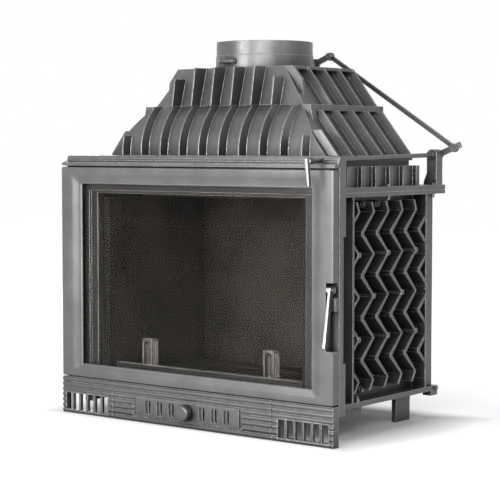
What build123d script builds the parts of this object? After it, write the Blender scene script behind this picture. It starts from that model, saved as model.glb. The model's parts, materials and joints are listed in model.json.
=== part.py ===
from build123d import *
import math
import os

# Cast-iron fireplace insert. Lengths in mm, X to the right, Y to the back, Z up.
# While it is drawn, Y = 0 is the front face of the door and the base. The saved pieces are
# shifted so that the origin lies on the floor under the middle of the base's front strip.

# Base strip: horizontal half-round ribs on a flat root
rib_rows = 7
rib_pitch = 11.03
rib_gap = 1.4
rib_depth = 3.0
strip_thickness = 20.0
strip_plate = 8.0
front_width = 694.0

# Grilles at both ends of the base
grille_width = 141.6
grille_rim = 6.0
grille_top_block = 25.0
grille_slots = 6
grille_shift = 2.0
slot_pitch = 20.3
slot_width = 15.5
slot_bottom = 8.0
slot_height = 35.0
slot_field_depth = 1.0
slot_field_margin = 2.0

# Ash drawer and its air slider
drawer_gap = 1.8
drawer_lift = 0.5
pan_half_width = 186.0
pan_front = 30.0
pan_length = 270.0
pan_height = 29.0
pan_wall = 2.0
pan_bottom = 25.0
runner_wall = 3.0
runner_foot = 16.0
runner_gap = 0.3
slider_width = 265.4
slider_height = 36.8
slider_bottom = 14.0
slider_thickness = 2.5
slider_rest = -7.0
slider_play = 0.5
air_slots = 3
air_slot_first = 39.8
air_slot_pitch = 30.9
air_slot_width = 14.0
air_slot_height = 28.0
air_slot_corner = 4.0
slider_travel = 15.5
knob_radius = 16.0
knob_length = 14.0
knob_edge_radius = 4.5
knob_neck_radius = 7.0
knob_neck_length = 4.0
knob_stud_radius = 4.0
slider_nut_height = 4.0
slider_nut_radius = 8.0

# Door
door_gap = 2.0
door_height = 437.2
door_thickness = 17.0
door_corner = 3.0
door_edge_radius = 2.4
side_rail = 53.0
bottom_rail = 27.8
top_rail = 35.0
glass_overlap = 12.0
glass_thickness = 4.0
glass_seat = 8.0
gasket_thickness = 1.5
gasket_width = 10.0
pocket_play = 1.0
retainer_seat = 5.0
retainer_width = 12.0
retainer_thickness = 2.0
retainer_screw_radius = 1.5
retainer_screw_length = 6.0
screw_head_height = 1.4
screw_head_radius = 2.4
rope_width = 7.0
rope_groove_depth = 4.0
rope_side_inset = 27.0
rope_low_inset = 6.0
rope_top_inset = 9.0
lip_sink = 5.0
shoulder_sink = 1.0
lip_side = 10.5
lip_upper = 10.6
lip_lower = 3.5
slope_run = 7.5
shoulder_side = 26.0
shoulder_upper = 22.0
shoulder_lower = 16.0
profile_corner = 10.0
inner_chamfer = 2.0
hinge_inset = 10.5
hinge_depth = 7.5
hinge_radius = 4.0
hinge_engagement = 20.0
hinge_foot_depth = 15.0
hinge_chamfer = 5.0
hinge_head_radius = 6.0
hinge_head_height = 2.5
cap_ball_radius = 3.2
cap_grip = 4.0
cap_gap = 1.3

# Door handle in the notch of the right edge
notch_depth = 17.0
notch_low = 101.0
notch_height = 128.0
handle_thickness = 5.0
handle_width = 9.0
handle_length = 111.0
handle_lean = 9.8
handle_pivot_depth = 9.0
handle_pivot_drop = 14.0
handle_eye_radius = 8.0
handle_boss = 4.7
handle_pin_radius = 3.5
handle_pin_grip = 8.0
handle_pin_head = 3.0
handle_pin_head_radius = 6.0
handle_top_step = 1.0
handle_top_rise = 4.0
latch_nose = 8.0
keeper_height = 24.0
keeper_drop = 29.0
keeper_depth = 11.0
keeper_width = 14.0
keeper_inset = 1.5

# Front frame
frame_thickness = 21.0
lip_gap = 3.2
lip_height = 6.4
lip_depth = 18.0
trim_height = 14.0
trim_step = 2.0
trim_steps = 2
mouth_rise = 18.8
mouth_step_half_width = 285.0
mouth_step_depth = 6.0
side_recess_depth = 5.0
side_recess_height = 237.0
side_recess_low = 75.8
side_recess_length = 13.0
cover_thickness = 5.0
base_bolt_inset = 25.0

# Body below and around the fire
leg_height = 57.0
leg_thickness = 10.0
leg_length = 52.0
leg_flare = 10.0
leg_flare_height = 12.0
leg_side_inset = 20.0
leg_rear_inset = 54.0
cheek_thickness = 10.0
cheek_height = 30.0
cheek_length = 145.0
cheek_corner = 15.0
cheek_flange = 6.0
floor_thickness = 10.0
floor_edge = 10.0
floor_rear_edge = 4.0
corner_block_length = 24.0
corner_block_depth = 10.0
foot_stud_radius = 2.4
foot_stud_drop = 3.0
tie_bolt_radius = 2.5
tie_bolt_grip = 8.0
tie_bolt_inset = 8.0
side_setback = 47.0
wall_thickness = 10.0
wall_flange_thickness = 8.0
body_depth = 384.0
hood_drop = 45.4
flange_edge = 20.0
flange_rear_edge = 13.0

# Zigzag fins of the side walls
fin_rise = 10.0
fin_height = 33.0
fin_width = 5.5
fin_blunt = 8.0
fin_vertex_extra = 2.5
fin_columns = 6
fin_first = 55.5
fin_pitch = 51.0
fin_swing = 41.0
fin_half_level = 40.9
fin_levels = 5
fin_low = 38.5
fin_stub = 20.0
fin_head_lean = 8.0
fin_foot_lean = 12.0
thin_rib_width = 5.0
front_rib_start = 77.5
rear_rib_setback = 44.0
rear_post_gap = 5.0
rear_post_inset = 3.0
stud_radius = 5.5
stud_rise = 1.0
wall_bolt_first = 133.0
wall_bolt_rise = 15.0
wall_bolt_drop = 19.0
wall_bolt_low_shift = 4.0
wall_bolt_grip = 6.0
wall_boss_radius = 7.0
wall_boss_depth = 18.0

# Firebox lining, hearth, grate and log guard
lining_thickness = 18.0
rear_lining_plate = 24.0
rear_lining_rib = 40.0
rear_lining_rib_width = 14.0
lining_ribs = 5
lining_top_gap = 10.0
hearth_thickness = 18.0
hearth_step = 11.0
hearth_step_height = 13.0
grate_half_width = 150.0
grate_front = 59.0
grate_length = 200.0
grate_thickness = 14.0
grate_play = 0.5
grate_seat = 15.0
grate_slots = 11
grate_slot_width = 9.0
guard_end_gap = 10.0
guard_thickness = 12.0
guard_height = 25.0
guard_post_height = 53.0
guard_post_width = 25.0
guard_post_depth = 21.0
guard_post_inset = 82.0
guard_post_offset = 1.5
guard_post_corner = 5.0
guard_niche_radius = 9.5
guard_flute_radius = 2.0
guard_flutes = 3
guard_flute_pitch = 5.5
baffle_thickness = 8.0
baffle_length = 206.0
baffle_bearing = 13.0

# Smoke hood, lower tier
hood_gap = 19.0
hood_depth = 296.0
hood_flange_thickness = 10.0
hood_bolt_front = 24.0
hood_bolt_rear = 27.0
hood_bolt_end = 2.0
hood_bolt_head_radius = 5.1
skirt_height = 40.0
skirt_front_gap = 6.0
skirt_rib_width = 12.0
skirt_rib_height = 9.0
skirt_ribs = 6
skirt_rib_pitch = 48.9
neck_height = 10.0
neck_depth = 16.0
bar_height = 10.0
bar_inset = 8.0
lower_height = 100.0
ledge_thickness = 12.0
ledge_half_width = 211.25
ledge_rear_edge = 15.4
lower_lean = 45.0
lower_curve = 2.4
side_rib_depth = 18.0
side_ribs = 5
side_rib_pitch = 52.5
front_rib_depth = 18.0
front_rib_pitch = 51.0
rib_crest = 3.4
rib_neck = 6.0
rib_neck_share = 0.3
rib_waist = 10.5
rib_waist_share = 0.65
rib_root = 18.0
rib_sink = 5.0
short_side_rib_y = 36.0
short_side_rib_height = 50.0
short_rib_extra = 6.0
short_front_rib_height = 40.0
corner_post_width = 8.0
hood_sections = 8

# Smoke hood, upper tier
upper_height = 77.5
top_half_width = 147.6
top_plate_thickness = 6.0
upper_foot_half_width = 207.0
upper_front_lean = 20.0
upper_crest_gap = 23.5
upper_crest_lean = 12.2
first_plate_thickness = 8.0
first_plate_inset = 21.0
first_plate_waist = 9.3
first_plate_waist_step = 14.0
first_plate_shoulder = 50.4
first_plate_shoulder_step = 20.0
short_upper_rib_drop = 21.7
upper_rib_extra = 14.0
hood_wall = 8.0

# Flue collar and flap
collar_radius = 100.0
collar_wall = 6.0
collar_foot_height = 26.0
collar_step = 1.2
spigot_length = 28.1
collar_setback = 85.6
flap_clearance = 3.0
flap_thickness = 4.0
flap_flat = 2.0
flap_shaft_radius = 5.5
flap_shaft_rise = 14.9
flap_screw_radius = 2.0
flap_screw_spread = 45.0
bend_reach = 27.5
bend_radius = 5.0
bend_gap = 1.0
bend_end_radius = 4.3
bend_end_length = 11.0

# Damper linkage: operating rod, cranks and link, all tilted alike
shaft_tilt = 1.2
rod_radius = 4.5
rod_side_offset = 39.4
rod_below_trim = 6.5
rod_front_reach = 34.0
crank_radius = 37.0
crank_angle = 22.0
crank_thickness = 6.0
crank_hub_radius = 10.0
crank_eye_radius = 8.0
crank_tail = 55.5
crank_tail_half_height = 6.0
crank_inset = 5.0
link_thickness = 5.0
link_height = 9.0
link_eye_radius = 9.0
pin_radius = 4.0
pin_head_radius = 6.5
pin_head_height = 3.5
open_pivot_clearance = 0.35
lever_length = 48.0
lever_top = 7.0
lever_top_width = 9.0
lever_top_depth = 9.4
lever_tip_width = 5.0
lever_tip_depth = 7.0
lever_lean = 5.0
lever_corner_share = 0.3
lever_end_share = 0.55
lever_end_height = 2.0
lever_hub_radius = 6.5
lever_hub_length = 14.0
lever_hub_sink = 2.0
bracket_length = 23.0
bracket_wall = 7.0
bracket_foot = 6.0
bracket_foot_half_width = 19.0
bracket_rear_inset = 10.0
bracket_edge_gap = 0.5
collar_ring_width = 7.0
collar_ring_wall = 4.0

# Common fasteners and clearances
running_gap = 0.05
face_gap = 0.3
link_gap = 0.4
bolt_radius = 3.0
bolt_head_radius = 6.0
bolt_head_height = 4.5
nut_height = 6.0
stud_length = 24.0
root_sink = 1.0

# Places that follow from the sizes above
base_height = rib_rows * rib_pitch
front_half = front_width / 2
grille_inner = front_half - grille_width
drawer_half = grille_inner - drawer_gap
door_bottom = base_height + door_gap
door_top = door_bottom + door_height
glass_half = front_half - side_rail
glass_low = door_bottom + bottom_rail
glass_high = door_top - top_rail
lip_bottom = door_top + lip_gap
lip_top = lip_bottom + lip_height
trim_top = lip_top + trim_height
frame_front = strip_thickness
frame_back = frame_front + frame_thickness
body_half = front_half - side_setback
fin_face = body_half + fin_rise
wall_face = fin_face - fin_height
body_inner = wall_face - wall_thickness
cheek_inner = body_half - cheek_thickness
body_rear = frame_back + body_depth
floor_top = leg_height + floor_thickness
wall_top = door_top - hood_drop
wall_flange_bottom = wall_top - wall_flange_thickness
flange_top = wall_top + hood_flange_thickness
flange_half = body_half + flange_edge
flange_rear = body_rear + flange_rear_edge
mouth_bottom = door_bottom + mouth_rise
hood_front = frame_back + hood_gap
hood_rear = hood_front + hood_depth
skirt_top = flange_top + skirt_height
bar_bottom = skirt_top + neck_height
bar_top = bar_bottom + bar_height
bar_half = body_half - bar_inset
ledge_top = bar_top + lower_height
hood_top = ledge_top + upper_height
ledge_front = hood_front + lower_lean + front_rib_depth
collar_y = hood_front + collar_setback + collar_radius
hinge_x = -(front_half - hinge_inset)
lining_inner = body_inner - lining_thickness
lining_rear = body_rear - wall_thickness - rear_lining_rib - rear_lining_plate
lining_top = wall_flange_bottom - lining_top_gap
hearth_top = floor_top + hearth_thickness
fin_bottom = floor_top + fin_low
fin_top = fin_bottom + 2 * fin_half_level * (fin_levels - 1)
rod_x_place = front_half - rod_side_offset
crank_y = flange_rear - crank_inset
crank_front = crank_y - crank_thickness / 2
crank_back = crank_y + crank_thickness / 2
shaft_slope = math.tan(math.radians(shaft_tilt))
rod_z_rear = trim_top - rod_below_trim + (crank_y - frame_front) * shaft_slope
flap_z_rear = hood_top + flap_shaft_rise + (crank_y - collar_y) * shaft_slope


def block(x0, x1, y0, y1, z0, z1):
    middle = ((x0 + x1) / 2, (y0 + y1) / 2, (z0 + z1) / 2)
    return Pos(*middle) * Box(x1 - x0, y1 - y0, z1 - z0)


def rod_x(radius, x0, x1, y, z):
    return Pos((x0 + x1) / 2, y, z) * Rot(0, 90, 0) * Cylinder(radius, x1 - x0)


def rod_y(radius, y0, y1, x, z):
    return Pos(x, (y0 + y1) / 2, z) * Rot(90, 0, 0) * Cylinder(radius, y1 - y0)


def rod_z(radius, z0, z1, x, y):
    return Pos(x, y, (z0 + z1) / 2) * Cylinder(radius, z1 - z0)


def hexagon_z(radius, z0, z1, x, y):
    return Pos(x, y, z0) * extrude(RegularPolygon(radius, 6), z1 - z0)


def hexagon_x(radius, x0, x1, y, z):
    return Pos(x0, y, z) * Rot(0, 90, 0) * extrude(RegularPolygon(radius, 6), x1 - x0)


def prism(points, direction):
    return Solid.extrude(Face(Wire.make_polygon(points)), Vector(*direction))


def prism_x(points, x0, x1):
    return prism([(x0, y, z) for y, z in points], (x1 - x0, 0, 0))


def prism_y(points, y0, y1):
    return prism([(x, y0, z) for x, z in points], (0, y1 - y0, 0))


def mirrored(shape):
    return mirror(shape, about=Plane.YZ)


def both_sides(shape):
    return [shape, mirrored(shape)]


def join(pieces):
    whole = pieces[0]
    for piece in pieces[1:]:
        whole = whole + piece
    return whole


def cut(shape, tools):
    for tool in tools:
        shape = shape - tool
    return shape


def ring(half, low, high, width, y0, y1):
    outer = block(-half - width / 2, half + width / 2, y0, y1, low - width / 2, high + width / 2)
    inner = block(-half + width / 2, half - width / 2, y0, y1, low + width / 2, high - width / 2)
    return outer - inner


def save(name, shape):
    solids = shape if isinstance(shape, list) else shape.solids()
    placed = [Pos(0, -strip_thickness / 2, 0) * solid for solid in solids]
    whole = placed[0] if len(placed) == 1 else Compound(children=placed)
    export_step(whole, f"parts/{name}.step")


# A bar of half-round ribs stacked one above the other, flat at the back
def ribbed_bar(x0, x1, z0, rows, y_back):
    edges = []
    corner = (x0, rib_depth, z0)
    for row in range(rows):
        low = z0 + row * rib_pitch + rib_gap / 2
        high = z0 + (row + 1) * rib_pitch - rib_gap / 2
        crest = (x0, 0, (low + high) / 2)
        edges.append(Line(corner, (x0, rib_depth, low)))
        edges.append(ThreePointArc((x0, rib_depth, low), crest, (x0, rib_depth, high)))
        corner = (x0, rib_depth, z0 + (row + 1) * rib_pitch)
        edges.append(Line((x0, rib_depth, high), corner))
    z1 = z0 + rows * rib_pitch
    edges.append(Line(corner, (x0, y_back, z1)))
    edges.append(Line((x0, y_back, z1), (x0, y_back, z0)))
    edges.append(Line((x0, y_back, z0), (x0, rib_depth, z0)))
    outline = Face(Wire([edge.edge() for edge in edges]))
    return Solid.extrude(outline, Vector(x1 - x0, 0, 0))


# Turns a piece drawn along Y by the common tilt of the shafts, about the operating rod's rear end
def tilted(shape):
    return Pos(0, crank_y, rod_z_rear) * Rot(shaft_tilt, 0, 0) * Pos(0, -crank_y, -rod_z_rear) * shape


# Base

def make_base():
    low = grille_rim
    high = base_height - grille_top_block
    middle = (grille_inner + front_half) / 2 + grille_shift
    right = ribbed_bar(grille_inner, front_half, 0, rib_rows, strip_thickness)
    pocket = block(
        grille_inner + grille_rim, front_half - grille_rim, strip_plate, strip_thickness, low, high
    )
    right = right - pocket
    field_half = ((grille_slots - 1) * slot_pitch + slot_width) / 2 + slot_field_margin
    field_low = slot_bottom - slot_field_margin
    field_high = slot_bottom + slot_height + slot_field_margin
    field_x0 = middle - field_half
    field_x1 = middle + field_half
    right = right + block(field_x0, field_x1, slot_field_depth, strip_plate, field_low, field_high)
    right = right - block(field_x0, field_x1, 0, slot_field_depth, field_low, field_high)
    for index in range(grille_slots):
        x = middle + (index - (grille_slots - 1) / 2) * slot_pitch
        slot_side = x - slot_width / 2
        slot_top = slot_bottom + slot_height
        right = right - block(slot_side, slot_side + slot_width, 0, strip_thickness, slot_bottom, slot_top)
    bolt_x = front_half - base_bolt_inset
    bolt_z = (leg_height + base_height) / 2
    right = right - rod_y(bolt_radius + running_gap, strip_thickness / 2, strip_thickness, bolt_x, bolt_z)
    left = mirrored(right)
    pin_foot = base_height - hinge_foot_depth
    left = left - rod_z(hinge_radius + running_gap, pin_foot, base_height, hinge_x, hinge_depth)
    save("right_grille", right)
    save("left_grille", left)
    save("base_sill", ribbed_bar(-grille_inner, grille_inner, 0, 1, strip_thickness))

    shank = rod_y(bolt_radius, strip_thickness / 2, frame_back, bolt_x, bolt_z)
    head = rod_y(bolt_head_radius, frame_back, frame_back + bolt_head_height, bolt_x, bolt_z)
    save("base_bolts", both_sides(shank + head))


# Ash drawer with its air slider

def make_drawer():
    front = ribbed_bar(-drawer_half, drawer_half, rib_pitch, rib_rows - 1, strip_plate)
    front = front - block(-drawer_half, drawer_half, 0, strip_plate, 0, rib_pitch + drawer_lift)
    slider_low = slider_bottom
    slider_high = slider_low + slider_height
    slider_z = (slider_low + slider_high) / 2
    closed = -slider_travel
    front = front - block(
        closed - slider_width / 2 - slider_play,
        slider_width / 2 + slider_play,
        0,
        rib_depth,
        slider_low - slider_play,
        slider_high + slider_play,
    )
    slots = []
    for index in range(air_slots):
        x = air_slot_first + index * air_slot_pitch
        slot = block(
            x - air_slot_width / 2,
            x + air_slot_width / 2,
            0,
            strip_plate,
            slider_z - air_slot_height / 2,
            slider_z + air_slot_height / 2,
        )
        slots += both_sides(fillet(slot.edges().filter_by(Axis.Y), air_slot_corner))
    stud_way = knob_stud_radius + slider_play
    front = cut(front, slots)
    front = front - block(
        closed - stud_way, stud_way, 0, strip_plate, slider_z - stud_way, slider_z + stud_way
    )
    save("drawer_front", front)

    pan_rear = pan_front + pan_length
    pan_top = pan_bottom + pan_height
    pan = block(-pan_half_width, pan_half_width, strip_plate, pan_rear, pan_bottom, pan_top)
    gap_half = pan_half_width - pan_wall
    pan = pan - block(
        -gap_half, gap_half, pan_front + pan_wall, pan_rear - pan_wall, pan_bottom + pan_wall, pan_top
    )
    pan = pan - block(-gap_half, gap_half, strip_plate, pan_front, pan_bottom, pan_top)
    save("ash_pan", pan)

    plate = block(
        slider_rest - slider_width / 2,
        slider_rest + slider_width / 2,
        rib_depth - slider_thickness,
        rib_depth,
        slider_low,
        slider_high,
    )
    plate = cut(plate, [Pos(slider_rest, 0, 0) * slot for slot in slots])
    plate_front = rib_depth - slider_thickness
    plate = plate - rod_y(knob_stud_radius + running_gap, plate_front, rib_depth, slider_rest, slider_z)
    save("air_slider", plate)

    neck_front = plate_front - knob_neck_length
    grip = rod_y(knob_radius, neck_front - knob_length, neck_front, slider_rest, slider_z)
    grip = fillet(grip.edges().sort_by(Axis.Y)[0], knob_edge_radius)
    neck = rod_y(knob_neck_radius, neck_front, plate_front, slider_rest, slider_z)
    stud_end = strip_plate + face_gap + slider_nut_height
    stud = rod_y(knob_stud_radius, plate_front, stud_end, slider_rest, slider_z)
    save("air_knob", grip + neck + stud)

    nut = rod_y(slider_nut_radius, strip_plate + face_gap, stud_end, slider_rest, slider_z)
    nut = nut - rod_y(knob_stud_radius + running_gap, strip_plate, stud_end, slider_rest, slider_z)
    save("slider_nut", nut)

    runner_top = pan_bottom - runner_gap
    web_in = pan_half_width + pan_wall
    web = block(web_in, web_in + runner_wall, frame_back, pan_rear, runner_top - runner_wall, leg_height)
    foot = block(web_in - runner_foot, web_in, frame_back, pan_rear, runner_top - runner_wall, runner_top)
    save("drawer_runners", both_sides(web + foot))


# Door

# One level of the moulding round the glass: a rounded rectangle wider than the opening
def profile_level(depth, side, lower, upper):
    width = 2 * (glass_half + side)
    height = glass_high - glass_low + lower + upper
    middle = (glass_high + glass_low + upper - lower) / 2
    place = Plane(origin=(0, depth, middle), x_dir=(1, 0, 0), z_dir=(0, -1, 0))
    corner = min(profile_corner, max(side, root_sink))
    return place * RectangleRounded(width, height, corner)


def make_door():
    rail = block(-front_half, front_half, 0, door_thickness, door_bottom, door_top)
    rail = fillet(rail.edges().filter_by(Axis.Y), door_corner)
    front_edges = rail.faces().sort_by(Axis.Y)[0].edges()
    rail = fillet(front_edges, door_edge_radius)
    rear_left = prism(
        [
            (-front_half, door_thickness, door_bottom),
            (-front_half + hinge_chamfer, door_thickness, door_bottom),
            (-front_half, door_thickness - hinge_chamfer, door_bottom),
        ],
        (0, 0, door_height),
    )
    rail = rail - rear_left
    outer = profile_level(0, shoulder_side, shoulder_lower, shoulder_upper)
    shoulder = profile_level(
        shoulder_sink, lip_side + slope_run, lip_lower + slope_run, lip_upper + slope_run
    )
    lip = profile_level(lip_sink, lip_side, lip_lower, lip_upper)
    rail = rail - loft([outer, shoulder], ruled=True)
    rail = rail - loft([shoulder, lip], ruled=True)
    mouth = profile_level(lip_sink, inner_chamfer, inner_chamfer, inner_chamfer)
    throat = profile_level(lip_sink + inner_chamfer, 0, 0, 0)
    rail = rail - loft([mouth, throat], ruled=True)
    rail = rail - block(-glass_half, glass_half, lip_sink, door_thickness, glass_low, glass_high)

    seat_half = glass_half + glass_overlap + pocket_play
    seat_low = glass_low - glass_overlap - pocket_play
    seat_high = glass_high + glass_overlap + pocket_play
    glass_back = glass_seat + gasket_thickness + glass_thickness
    rail = rail - block(-seat_half, seat_half, glass_seat, door_thickness, seat_low, seat_high)
    rail = rail - block(
        -seat_half - retainer_seat,
        seat_half + retainer_seat,
        glass_back,
        door_thickness,
        seat_low - retainer_seat,
        seat_high + retainer_seat,
    )

    rope_half = front_half - rope_side_inset
    rope_low = door_bottom + rope_low_inset
    rope_high = door_top - rope_top_inset
    groove_floor = door_thickness - rope_groove_depth
    rail = rail - ring(rope_half, rope_low, rope_high, rope_width, groove_floor, door_thickness)

    notch_bottom = door_bottom + notch_low
    notch_top = notch_bottom + notch_height
    notch_wall = front_half - notch_depth
    rail = rail - block(notch_wall, front_half, 0, door_thickness, notch_bottom, notch_top)

    pivot_z = notch_top - handle_pivot_drop
    pin_start = notch_wall - handle_pin_grip
    rail = rail - rod_x(
        handle_pin_radius + running_gap, pin_start, notch_wall, handle_pivot_depth, pivot_z
    )
    hinge_hole = hinge_radius + running_gap
    rail = rail - rod_z(hinge_hole, door_bottom, door_bottom + hinge_engagement, hinge_x, hinge_depth)
    rail = rail - rod_z(hinge_hole, door_top - hinge_engagement, door_top, hinge_x, hinge_depth)

    # Retainer bars on the back of the glass, with a screw at the thirds of each bar
    bar_front = glass_back
    bar_back = bar_front + retainer_thickness
    edge = retainer_seat - pocket_play / 2
    side_in = seat_half + edge - retainer_width
    right_bar = block(side_in, seat_half + edge, bar_front, bar_back, seat_low + edge, seat_high - edge)
    bar_high = seat_high + edge
    bar_low = seat_low - edge
    bar_half_length = side_in - edge
    top_bar = block(
        -bar_half_length, bar_half_length, bar_front, bar_back, bar_high - retainer_width, bar_high
    )
    low_bar = block(
        -bar_half_length, bar_half_length, bar_front, bar_back, bar_low, bar_low + retainer_width
    )
    bars = both_sides(right_bar) + [top_bar, low_bar]
    screw_places = []
    ledge = retainer_seat / 2
    middle_z = (seat_low + seat_high) / 2
    for step in (-1, 0, 1):
        z = middle_z + step * (seat_high - seat_low) / 3
        x = step * side_in * 2 / 3
        screw_places += [(seat_half + ledge, z), (-seat_half - ledge, z)]
        screw_places += [(x, seat_high + ledge), (x, seat_low - ledge)]
    screws = []
    for x, z in screw_places:
        screw_start = bar_back - retainer_screw_length
        hole = rod_y(retainer_screw_radius + running_gap, screw_start, bar_back, x, z)
        rail = rail - hole
        bars = [bar - hole for bar in bars]
        shank = rod_y(retainer_screw_radius, screw_start, bar_back, x, z)
        head = rod_y(screw_head_radius, bar_back, bar_back + screw_head_height, x, z)
        screws.append(shank + head)
    save("door_frame", rail)
    save("glass_retainers", bars)
    save("retainer_screws", screws)

    pane_half = glass_half + glass_overlap
    pane_low = glass_low - glass_overlap
    pane_high = glass_high + glass_overlap
    gasket_back = glass_seat + gasket_thickness
    save("door_glass", block(-pane_half, pane_half, gasket_back, glass_back, pane_low, pane_high))
    inset = gasket_width / 2
    save(
        "glass_gasket",
        ring(pane_half - inset, pane_low + inset, pane_high - inset, gasket_width, glass_seat, gasket_back),
    )
    rope_back = frame_front - face_gap
    save("door_rope", ring(rope_half, rope_low, rope_high, rope_width, groove_floor, rope_back))

    pin = rod_x(handle_pin_radius, pin_start, notch_wall, handle_pivot_depth, pivot_z)
    handle_side = notch_wall + face_gap + handle_boss + handle_thickness
    pin_end = handle_side + face_gap + handle_pin_head
    pin = pin + rod_x(handle_pin_radius, notch_wall, pin_end, handle_pivot_depth, pivot_z)
    head_start = handle_side + face_gap
    pin = pin + rod_x(handle_pin_head_radius, head_start, pin_end, handle_pivot_depth, pivot_z)
    save("handle_pin", pin)

    # Handle: a blade that leans forward at the bottom, an eye on the pin and a short latch nose
    lean = math.radians(handle_lean)
    top = (handle_pivot_depth - handle_eye_radius + handle_top_step, pivot_z + handle_top_rise)
    foot = (top[0] - handle_length * math.sin(lean), top[1] - handle_length * math.cos(lean))
    back = (handle_width * math.cos(lean), -handle_width * math.sin(lean))
    blade_in = notch_wall + face_gap + handle_boss
    blade = prism_x(
        [
            top,
            foot,
            (foot[0] + back[0], foot[1] + back[1]),
            (top[0] + back[0], top[1] + back[1]),
        ],
        blade_in,
        handle_side,
    )
    eye = rod_x(
        handle_eye_radius, notch_wall + face_gap, handle_side, handle_pivot_depth, pivot_z
    )
    nose = block(
        blade_in,
        handle_side,
        handle_pivot_depth,
        handle_pivot_depth + latch_nose,
        pivot_z - handle_eye_radius,
        pivot_z,
    )
    handle = blade + eye + nose
    handle = handle - rod_x(
        handle_pin_radius + running_gap, notch_wall, handle_side, handle_pivot_depth, pivot_z
    )
    save("door_handle", handle)

    keeper_top = notch_top - keeper_drop
    keeper_out = front_half - keeper_inset
    keeper = block(
        keeper_out - keeper_width,
        keeper_out,
        frame_front - keeper_depth,
        frame_front,
        keeper_top - keeper_height,
        keeper_top,
    )
    save("latch_keeper", keeper)


# Hinge pins

def make_hinges():
    low = base_height - hinge_foot_depth
    lower = rod_z(hinge_radius, low, door_bottom + hinge_engagement, hinge_x, hinge_depth)
    upper = rod_z(hinge_radius, door_top - hinge_engagement, lip_top, hinge_x, hinge_depth)
    upper = upper + rod_z(hinge_head_radius, lip_top, lip_top + hinge_head_height, hinge_x, hinge_depth)
    save("hinge_pins", [lower, upper])
    cap_y = frame_front - lip_depth / 2
    cap_z = (lip_bottom + lip_top) / 2
    ball_x = -front_half - cap_ball_radius - cap_gap
    neck = rod_x(cap_ball_radius / 2, ball_x + root_sink, -front_half + cap_grip, cap_y, cap_z)
    ball = Pos(ball_x, cap_y, cap_z) * Rot(0, 90, 0) * Sphere(cap_ball_radius)
    save("hinge_cap", ball + neck)


# Front frame with the lip and the stepped trim above the door

def make_frame():
    frame = block(-front_half, front_half, frame_front, frame_back, leg_height, trim_top)
    frame = frame - block(
        -body_inner, body_inner, frame_front, frame_back, mouth_bottom, wall_flange_bottom
    )
    frame = frame - block(
        -mouth_step_half_width,
        mouth_step_half_width,
        frame_front,
        frame_front + mouth_step_depth,
        mouth_bottom - mouth_step_depth,
        wall_flange_bottom + mouth_step_depth,
    )
    lip_front = frame_front - lip_depth
    frame = frame + block(-front_half, front_half, lip_front, frame_front, lip_bottom, lip_top)
    tread = trim_height / (trim_steps + 1)
    for index in range(1, trim_steps + 1):
        frame = frame + block(
            -front_half,
            front_half,
            frame_front - index * trim_step,
            frame_front,
            lip_top,
            lip_top + (trim_steps + 1 - index) * tread,
        )
    frame = frame + block(
        -mouth_step_half_width,
        mouth_step_half_width,
        frame_back,
        hood_front,
        trim_top - cover_thickness,
        trim_top,
    )
    recess_low = door_bottom + side_recess_low
    recess = block(
        front_half - side_recess_depth,
        front_half,
        frame_back - side_recess_length,
        frame_back,
        recess_low,
        recess_low + side_recess_height,
    )
    frame = cut(frame, both_sides(recess))
    frame = frame - rod_z(hinge_radius + running_gap, lip_bottom, lip_top, hinge_x, hinge_depth)
    cap_y = frame_front - lip_depth / 2
    cap_z = (lip_bottom + lip_top) / 2
    frame = frame - rod_x(
        cap_ball_radius / 2 + running_gap, -front_half, -front_half + cap_grip, cap_y, cap_z
    )
    bolt_x = front_half - base_bolt_inset
    bolt_z = (leg_height + base_height) / 2
    bolt_hole = rod_y(bolt_radius + running_gap, frame_front, frame_back, bolt_x, bolt_z)
    frame = cut(frame, both_sides(bolt_hole))
    frame = frame - tilted(
        rod_y(rod_radius + running_gap, 0, hood_front, rod_x_place, rod_z_rear)
    )
    save("front_frame", frame)


# Floor, legs and cheeks below the body

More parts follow.
